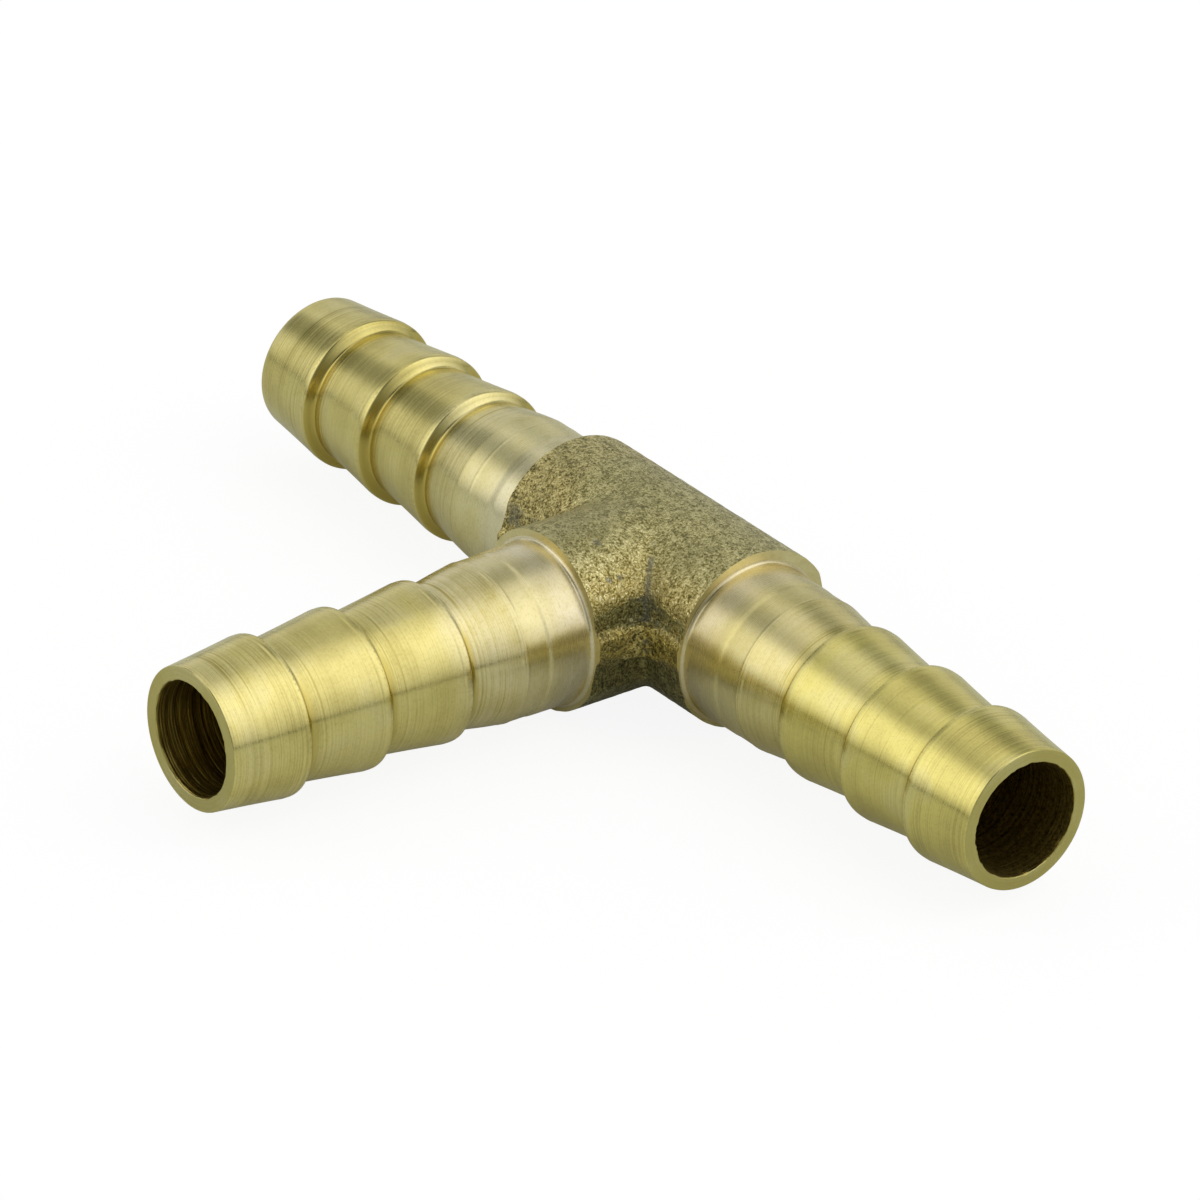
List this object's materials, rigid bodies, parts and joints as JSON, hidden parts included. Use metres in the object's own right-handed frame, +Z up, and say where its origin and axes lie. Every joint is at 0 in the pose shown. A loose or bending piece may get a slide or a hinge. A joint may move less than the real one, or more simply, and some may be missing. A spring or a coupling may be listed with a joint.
{
  "type": "hose barb tee",
  "caption": "Brass tee fitting with equal barbed hose tails on a forged middle, drilled through the run and into the branch.",
  "frame": {"origin": "crossing of the run axis and the branch axis", "axes": "+X along the run towards the tail at the right of the picture, -Y along the branch, +Z up"},
  "size_m": [0.0594, 0.0342, 0.0098],
  "materials": {
    "body": "turned satin tails, rough forged middle"
  },
  "bodies": {
    "root": {"body": "body"}
  },
  "joints": []
}
